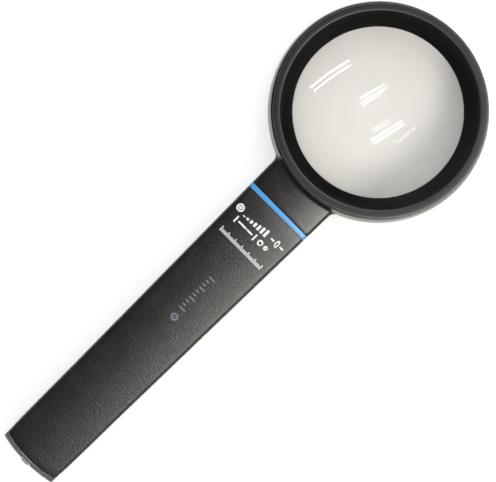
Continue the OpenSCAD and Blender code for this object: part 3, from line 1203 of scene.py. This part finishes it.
@dataclass(frozen=True)
class Grip:
    """Accent ring, soft-touch sleeve, end cap and plug."""

    handle: Handle
    ring_soft: float = 0.14
    sleeve_soft: float = 0.16
    sleeve_steps: int = 24
    bend: float = 30.0
    bend_end: float = 2.0
    bend_steps: int = 10
    bore_deep: float = 4.0
    bore_steps: int = 6
    lead: float = 0.2
    lead_len: float = 0.3
    joint_edge: float = 0.08
    joint_gap: float = 0.06
    nose_soft: float = 0.3
    nose_drawn: float = 0.6
    nose_low: float = 0.4
    nose_turns: int = 5
    nose_steps: int = 14
    hole_soft: float = 0.25
    hole_lip: float = 0.1
    shaft_soft: float = 0.2
    throat: float = 1.0
    plug_soft: float = 0.3
    plug_crown: float = 0.02
    plug_corner: float = 0.35
    plug_edge: float = 0.1
    plug_turns: int = 5
    plug_rings: Pair = (0.35, 0.7)
    shank_lead: float = 0.4

    def rolled(self, at: float, soft: float, ahead: bool) -> list[list[Triple]]:
        """Rows of a small rounding where an outside starts or ends straight across.

        Args:
            at: Distance of the end face from the lens axis.
            soft: Radius of the rounding.
            ahead: Whether the outside runs on from here, rather than ending here.

        Returns:
            The rows, in order along the handle.
        """
        hd, way = self.handle, 1 if ahead else -1
        rows = [hd.level(hd.outside(at, drawn), at + back * way) for drawn, back in roll(soft)]
        return rows[::-1] if ahead else rows

    def build_ring(self, finish: bpy.types.Material) -> bpy.types.Object:
        """Skin the accent ring as a tube that fits over the tang.

        Args:
            finish: Material of the accents.

        Returns:
            The ring.
        """
        hd = self.handle
        gap, inset = hd.slide - hd.fit, hd.wall + hd.slide - hd.fit
        rows = self.rolled(hd.neck_end, self.ring_soft, True)
        rows += self.rolled(hd.ring_end, self.ring_soft, False)
        rows += [hd.inner_row(a, inset, hd.wall + gap, hd.thick - hd.wall - gap)
                 for a in (hd.ring_end, hd.neck_end)]
        return settle(loft("accent_band", rows, ring=True), Slot.ACCENT, finish, "accent_ring")

    def build_sleeve(self, finish: bpy.types.Material) -> bpy.types.Object:
        """Skin the hollow soft-touch sleeve with its bowed end.

        Args:
            finish: Material of the grip.

        Returns:
            The sleeve.
        """
        hd, soft = self.handle, self.sleeve_soft
        end, bowed_r = hd.bow_a + hd.joint_r, hd.joint_r - self.bend_end
        first, last = hd.end_a - self.bend, end - self.bend_end
        rows = self.rolled(hd.ring_end, soft, True)
        rows += [hd.level(hd.outside(a), a) for a in steps(hd.ring_end + soft, first, self.sleeve_steps)[1:]]
        for share in steps(0, 1, self.bend_steps)[1:]:
            a = first + (last - first) * share
            rows.append(hd.bowed(hd.outside(a), bowed_r, share, a))
        rows += [hd.bowed(hd.outside(end, drawn), hd.joint_r - back) for drawn, back in roll(soft)]
        low, high = hd.wall, hd.thick - hd.wall
        rows.append(hd.bowed(hd.inside(end, hd.wall, low, high), hd.joint_r))
        rows += [hd.inner_row(a, hd.wall, low, high)
                 for a in steps(end - self.bore_deep, hd.ring_end, self.bore_steps)]
        return settle(loft("grip_soft_sleeve", rows, ring=True), Slot.GRIP, finish, "grip_sleeve")

    def build_cap(self, finish: bpy.types.Material) -> bpy.types.Object:
        """Skin the end cap: spigot outside, bulged nose, plug hole and the hollow behind it.

        Args:
            finish: Material of the mouldings.

        Returns:
            The cap.
        """
        hd, fit = self.handle, self.handle.fit
        joint = hd.bow_a + hd.joint_r
        spigot, seat = joint - hd.spigot_len, hd.end_a - hd.plug_seat
        inset, wall = hd.wall + fit, hd.wall + fit + hd.spigot_wall
        low, high = hd.wall + fit, hd.thick - hd.wall - fit
        pouch_low, pouch_high = low + hd.spigot_wall, high - hd.spigot_wall
        lead, joint_r = self.lead, hd.joint_r + fit
        rows = [hd.inner_row(spigot, inset + lead, low + lead, high - lead),
                hd.level(hd.inside(spigot, inset, low, high), spigot + self.lead_len),
                hd.bowed(hd.inside(joint, inset, low, high), joint_r)]
        edge, soft = hd.outside(hd.end_a), self.nose_soft
        rows += [hd.bowed(shrink(edge, self.joint_edge), joint_r), hd.bowed(edge, joint_r + self.joint_gap)]
        for t in steps(0, 1, self.nose_turns):
            lowered = -soft * self.nose_low * (1 - t) ** 2
            rows.append(hd.nose_row(shrink(edge, soft * t * t * self.nose_drawn), lowered))
        hole = bar_outline(hd.plug_w / 2 + fit, hd.mid - hd.plug_h / 2 - fit, hd.mid + hd.plug_h / 2 + fit,
                           FLAT, self.hole_soft)
        inner = shrink(edge, soft * self.nose_drawn)
        rows += [hd.nose_row([mix(p, q, share) for p, q in zip(inner, hole)])
                 for share in steps(0, 1, self.nose_steps)[1:-1]]
        rows += [hd.nose_row(shrink(hole, -self.hole_lip)), hd.nose_row(hole, -self.hole_lip),
                 hd.level(hole, seat)]
        shaft = bar_outline(hd.plug_w / 2 + fit, pouch_low, pouch_high, FLAT, self.shaft_soft)
        throat = joint - self.throat
        rows += [hd.level(shaft, seat), hd.level(shaft, throat)]
        rows += [hd.inner_row(a, wall, pouch_low, pouch_high) for a in (throat, spigot)]
        return settle(loft("end_cap_moulding", rows, ring=True), Slot.FRAME, finish, "end_cap")

    def build_plug(self, finish: bpy.types.Material) -> bpy.types.Object:
        """Skin the end plug: a bowed face with soft edges, and the shank behind it.

        Args:
            finish: Material of the accents.

        Returns:
            The plug.
        """
        hd, soft = self.handle, self.plug_soft
        joint = hd.bow_a + hd.joint_r
        seat, back = hd.end_a - hd.plug_seat, joint - hd.spigot_len
        pouch = hd.wall + 2 * hd.fit + hd.spigot_wall
        face = bar_outline(hd.plug_w / 2, hd.mid - hd.plug_h / 2, hd.mid + hd.plug_h / 2, self.plug_crown,
                           self.plug_corner)
        shank = bar_outline(hd.plug_w / 2, pouch, hd.thick - pouch, FLAT, hd.inner_r)
        proud, edge = hd.tip_a - hd.end_a, self.plug_edge
        rows = [hd.level(shrink(shank, soft), back), hd.level(shank, back + self.shank_lead),
                hd.level(shank, seat), hd.level(shrink(face, edge), seat), hd.level(face, seat + edge)]
        rows += [hd.nose_row(shrink(face, drawn), proud - low) for drawn, low in roll(soft, self.plug_turns)]
        inner = shrink(face, soft)
        for share in self.plug_rings:
            ring = [(x * (1 - share), hd.mid + (z - hd.mid) * (1 - share)) for x, z in inner]
            rows.append(hd.nose_row(ring, proud))
        return settle(loft("end_plug_moulding", rows), Slot.ACCENT, finish, "end_plug")


@dataclass(frozen=True)
class PrintedMarks:
    """Printed pictograms on the neck end of the handle: plain marks with no lettering."""

    handle: Handle
    thick: float = 0.03
    sunk: float = 0.02
    stroke: float = 0.5
    cut: float = 1.2
    ring_steps: int = 32
    round_r: float = 1.25
    first_row: float = 48.2
    second_row: float = 51.4

    def patch(self, outline: Sequence[Pair], points: list[Triple], faces: list[tuple[int, ...]]) -> None:
        """Add one closed, thin patch that follows the crown of the handle.

        Args:
            outline: Closed outline as (x, distance from the lens axis).
            points: Vertices so far, which the patch's are added to.
            faces: Faces so far, which the patch's are added to.
        """
        hd, first, size = self.handle, len(points), len(outline)
        for lift in (-self.sunk, self.thick):
            points += [(x, hd.head_y - a, hd.surface_z(x, a) + lift) for x, a in outline]
        low, high = list(range(first, first + size)), list(range(first + size, first + 2 * size))
        faces += [tuple(low), tuple(high)]
        faces += [(low[i], low[(i + 1) % size], high[(i + 1) % size], high[i]) for i in range(size)]

    def bar(self, x: float, a: float, wide: float, long: float) -> list[list[Pair]]:
        """Outlines of a bar about a middle, cut into short lengths across the crown.

        Args:
            x: Its middle across the handle.
            a: Distance of its middle from the lens axis.
            wide: Its size across the handle.
            long: Its size along the handle.

        Returns:
            The outlines.
        """
        count = max(1, round(wide / self.cut))
        edges = steps(x - wide / 2, x + wide / 2, count)
        return [[(p, a - long / 2), (q, a - long / 2), (q, a + long / 2), (p, a + long / 2)]
                for p, q in zip(edges, edges[1:])]

    def ring(self, x: float, a: float, radius: float, squeeze: float = 1.0) -> list[list[Pair]]:
        """Outlines of a ring about a middle, in short lengths, squeezed along X.

        Args:
            x: Its middle across the handle.
            a: Distance of its middle from the lens axis.
            radius: Its outer radius.
            squeeze: Its size along X as a share of the one along Y.

        Returns:
            The outlines.
        """
        turns = steps(0, math.tau, self.ring_steps)
        rims = [[(x + squeeze * r * math.cos(t), a + r * math.sin(t)) for t in turns]
                for r in (radius, radius - self.stroke / (0.5 + 0.5 * squeeze))]
        return [[rims[0][i], rims[0][i + 1], rims[1][i + 1], rims[1][i]] for i in range(self.ring_steps)]

    def bars(self, count: int, place: Callable[[int], tuple[float, ...]]) -> list[list[Pair]]:
        """Outlines of a number of bars, each from the place and size that its own number gives."""
        return [outline for i in range(count) for outline in self.bar(*place(i))]

    def make(self, name: str, outlines: Sequence[Sequence[Pair]],
             finish: bpy.types.Material) -> bpy.types.Object:
        """Turn outlines into one printed piece.

        Args:
            name: Name of the piece.
            outlines: Its patches.
            finish: Its ink.

        Returns:
            The piece.
        """
        points: list[Triple] = []
        faces: list[tuple[int, ...]] = []
        for outline in outlines:
            self.patch(outline, points, faces)
        return settle(make_object(name, points, faces), Slot.GRIP, finish)

    def build(self, white: bpy.types.Material, grey: bpy.types.Material) -> list[bpy.types.Object]:
        """Print every mark.

        Args:
            white: Ink of the marks across the handle.
            grey: Ink of the mark along the handle.

        Returns:
            The printed pieces.
        """
        s, r, first, second = self.stroke, self.round_r, self.first_row, self.second_row
        view_x, lens_x, lead, span_x, dot_x, mark = -8.4, 6.6, 1.3, -3.2, 2.9, 1.2
        bars_x, bars_a, bars_pitch, bars_rise = -5.9, 49.4, 1.35, 0.34
        ruler_x, ruler_a, ruler_pitch = -8.1, 56.6, 0.54
        axis_x, axis_a, axis_pitch, axis_end = 0.6, 68.8, 1.35, 84.2
        white_marks = {
            "print_view": self.ring(view_x, first, r) + self.bar(view_x, first, mark, s)
            + self.bar(view_x, first, s, mark),
            "print_steps": self.bars(7, lambda i: (bars_x + bars_pitch * i, bars_a - bars_rise / 2 * (i + 1),
                                                   s * 1.6, bars_rise * (i + 1))),
            "print_lens": self.ring(lens_x, first, r, 0.5) + self.bar(lens_x - 1.8, first, lead, s)
            + self.bar(lens_x + 1.8, first, lead, s),
            "print_reach": self.bar(span_x - 3.8, second, s, 2.2) + self.bar(span_x + 3.8, second, s, 2.2)
            + self.bar(span_x, second, 5.6, s),
            "print_dots": self.ring(dot_x, second, 0.95) + self.ring(dot_x + 2.2, second, 0.7),
            "print_ruler": self.bars(31, lambda i: (ruler_x + ruler_pitch * i,
                                                    ruler_a - (0 if i % 5 else 0.3), 0.27,
                                                    1.0 if i % 5 else 1.6)),
        }
        along = self.bars(10, lambda i: (axis_x - (0.5 if i % 3 else 0), axis_a + axis_pitch * i,
                                         1.2 if i % 3 else 2.2, 0.42))
        along += self.ring(axis_x, axis_end, 1.15) + self.bar(axis_x, axis_end, s, s)
        printed = [self.make(name, outlines, white) for name, outlines in white_marks.items()]
        return [*printed, self.make("print_axis", along, grey)]


@dataclass(frozen=True)
class InnerParts:
    """CAD nodes that keep their own shape, inside the head and the handle."""

    palette: Palette

    def dress(self) -> None:
        """Give each carried-over node its finish."""
        finishes = {"lens_gasket": self.palette.gasket, "handle_core": self.palette.core,
                    "tang_inserts": self.palette.insert, "core_screws": self.palette.screw}
        for node, finish in finishes.items():
            made = finish.build()
            for slot in frame["nodes"][node].material_slots:
                slot.material = made
            LOG.info("%s: kept from the frame, finish %s", node, made.name)


# ---------------------------------------------------------------- studio


@dataclass(frozen=True)
class SoftBox:
    """A square-edged lamp that points at the middle of the scene.

    Attributes:
        name: Name of the lamp.
        place: Where it hangs.
        size: Its width and height.
        power: Its power in watts.
        receiver: Name of the collection of the pieces that it lights.
        colour: Its linear colour.
        glossy: Whether the pieces mirror it.
    """

    name: str
    place: Triple
    size: Pair
    power: float
    receiver: str
    colour: Triple = WHITE
    glossy: bool = False


@dataclass(frozen=True)
class TubePair:
    """A pair of long thin lamps over the head, for the lens to mirror.

    Attributes:
        name: Name of the pair.
        tilt: Angle of the pair from straight up, in degrees.
        turn: Direction that it leans to, in degrees from +X.
        length: Length of the tubes.
        power: Power of each tube in watts.
    """

    name: str
    tilt: float
    turn: float
    length: float
    power: float


WARM, COOL = (1.0, 0.965, 0.91), (0.94, 0.94, 1.0)


@dataclass(frozen=True)
class Studio:
    """Pale floor, soft light and the camera."""

    head: Head
    camera_x: float = 0.0
    camera_a: float = 53.5
    camera_z: float = 522.75
    roll: float = 45.32
    focal: float = 127.5
    sensor: float = 36.0
    near: float = 0.01
    far: float = 20.0
    horizon: float = 0.9
    zenith: float = 0.15
    floor_r: float = 1500.0
    floor_drop: float = 0.02
    floor_t: float = 5.0
    floor_turns: int = 96
    tube_away: float = 1500.0
    tube_apart: float = 90.0
    tube_w: float = 26.0
    tube_run: Triple = (0.219, 0.976, 0.0)
    boxes: tuple[SoftBox, ...] = (
        SoftBox("soft_box_over_handle", (555, 275, 1400), (850, 850), 22.5, "satin", WARM, glossy=True),
        SoftBox("soft_box_right", (1080, 100, 1060), (1000, 1100), 11.0, "satin", WARM),
        SoftBox("soft_box_top", (-250, 150, 1500), (1600, 1600), 15.0, "satin", COOL),
        SoftBox("floor_box_right", (1080, 60, 1060), (340, 340), 26.0, "ground", WARM),
        SoftBox("floor_box_low", (-1500, 300, 420), (1200, 400), 52.0, "ground"),
        SoftBox("floor_box_top", (-250, 150, 1500), (1600, 1600), 14.5, "ground", COOL),
    )
    pairs: tuple[TubePair, ...] = (
        TubePair("tubes_low", 47, 180, 850, 1.3),
        TubePair("tubes_high", 19, 140, 640, 1.5),
        TubePair("tubes_back", 18, 353, 800, 2.4),
    )

    def floor(self) -> bpy.types.Object:
        """Lay the floor, a wide disc just under the magnifier.

        Returns:
            The floor.
        """
        top, under = -self.floor_drop, -self.floor_drop - self.floor_t
        rows = [(0.0, top), (self.floor_r, top), (self.floor_r, under), (0.0, under)]
        made = lathe("floor", rows, 0.0, self.floor_turns)
        made.data.materials.append(Paper().build())
        return made

    def lamp(self, name: str, place: Vector, turned: Matrix, size: Pair, power: float,
             colour: Triple = WHITE) -> bpy.types.Object:
        """Hang one rectangular lamp.

        Args:
            name: Name of the lamp.
            place: Where it hangs.
            turned: How it is turned.
            size: Its width and height.
            power: Its power in watts.
            colour: Its linear colour.

        Returns:
            The lamp.
        """
        light = bpy.data.lights.new(name, "AREA")
        light.shape, light.energy, light.color = "RECTANGLE", power, colour
        light.size, light.size_y = size[0] * MM, size[1] * MM
        made = bpy.data.objects.new(name, light)
        made.matrix_world = Matrix.Translation(place * MM) @ turned.to_4x4()
        bpy.context.scene.collection.objects.link(made)
        return made

    def tubes(self, pair: TubePair, shown_in: bpy.types.Collection) -> None:
        """Hang a pair of tubes.

        Args:
            pair: The pair.
            shown_in: Collection of the pieces that they light.
        """
        run, middle = Vector(self.tube_run).normalized(), Vector((0, self.head.y, self.head.top))
        tilt, turn = math.radians(pair.tilt), math.radians(pair.turn)
        way = Vector((math.sin(tilt) * math.cos(turn), math.sin(tilt) * math.sin(turn), math.cos(tilt)))
        across = run.cross(way).normalized()
        for number, side in enumerate((-1, 1), 1):
            place = middle + way * self.tube_away + across * side * self.tube_apart / 2
            back = (place - middle).normalized()
            along = (run - back * run.dot(back)).normalized()
            turned = Matrix((along.cross(back).normalized(), along, back)).transposed()
            light = self.lamp(f"{pair.name}_{number}", place, turned, (self.tube_w, pair.length), pair.power)
            light.light_linking.receiver_collection = shown_in

    def room(self) -> None:
        """Surround the scene with a room, pale at the horizon, dim overhead and warmer towards +X."""
        world = bpy.data.worlds.new("room")
        world.use_nodes = True
        w = Wiring(world.node_tree)
        way = w.add("SeparateXYZ", {0: w.add("TexCoord").outputs["Generated"]})
        colour = w.blend(w.ramp(way.outputs["X"], low=-0.7, high=0.7), rgba(COOL), rgba(WARM))
        strength = w.ramp(way.outputs["Z"], 0.1, 0.8, to_low=self.horizon, to_high=self.zenith)
        backdrop = w.add("Background", {"Color": colour, "Strength": strength})
        w.add("OutputWorld", {"Surface": backdrop.outputs[0]})
        bpy.context.scene.world = world

    def light(self, lens: bpy.types.Object, floor: bpy.types.Object) -> None:
        """Light the mouldings and the floor by three soft boxes each, and the lens by its tubes.

        Args:
            lens: The lens, which mirrors the tubes.
            floor: The floor.
        """
        self.room()
        groups = {name: bpy.data.collections.new(name) for name in ("mirrors", "satin", "ground")}
        for piece in bpy.context.scene.objects:
            if piece.type == "MESH":
                groups[{lens: "mirrors", floor: "ground"}.get(piece, "satin")].objects.link(piece)
        for box in self.boxes:
            turned = (-Vector(box.place)).to_track_quat("-Z", "Y").to_matrix()
            made = self.lamp(box.name, Vector(box.place), turned, box.size, box.power, box.colour)
            made.light_linking.receiver_collection = groups[box.receiver]
            made.visible_glossy, made.visible_transmission = box.glossy, False
        for pair in self.pairs:
            self.tubes(pair, groups["mirrors"])

    def camera(self) -> None:
        """Hang the camera straight above the handle, turned so that the handle runs to the lower left."""
        lens = bpy.data.cameras.new("camera")
        lens.sensor_width, lens.lens, lens.sensor_fit = self.sensor, self.focal, "HORIZONTAL"
        lens.clip_start, lens.clip_end = self.near, self.far
        made = bpy.data.objects.new("camera", lens)
        made.location = Vector((self.camera_x, self.head.y - self.camera_a, self.camera_z)) * MM
        made.rotation_euler = (0, 0, math.radians(self.roll))
        bpy.context.scene.collection.objects.link(made)
        bpy.context.scene.camera = made

    def build(self, lens: bpy.types.Object) -> None:
        """Set up the whole studio round the lens.

        Args:
            lens: The lens, which mirrors the tubes.
        """
        self.camera()
        self.light(lens, self.floor())
        bpy.context.scene.view_settings.view_transform = "Standard"


# ---------------------------------------------------------------- assembly


def main() -> None:
    """Build every sub-assembly in order."""
    logging.basicConfig(level=logging.INFO, format="%(name)s: %(message)s")
    head = Head.from_frame()
    handle = Handle.from_frame(head)
    palette = Palette()
    # Both the frame and the bezel get painted shade inside the hood's radius.
    hood = (head.y, head.hood_r)
    satin = replace(palette.frame, hood=hood).build()
    matte = replace(palette.bezel, hood=hood).build()
    lens_set, grip = LensSet(head, palette), Grip(handle)
    lens = lens_set.build_lens()
    lens_set.build_bezel(matte)
    FrameBody(head, handle).build(satin)
    grip.build_ring(palette.accent.build())
    grip.build_sleeve(palette.grip.build())
    grip.build_cap(palette.cap.build())
    grip.build_plug(palette.plug.build())
    PrintedMarks(handle).build(palette.white_ink.build(), palette.grey_ink.build())
    InnerParts(palette).dress()
    Studio(head).build(lens)
    bpy.context.view_layer.update()


if __name__ == "__main__":
    main()
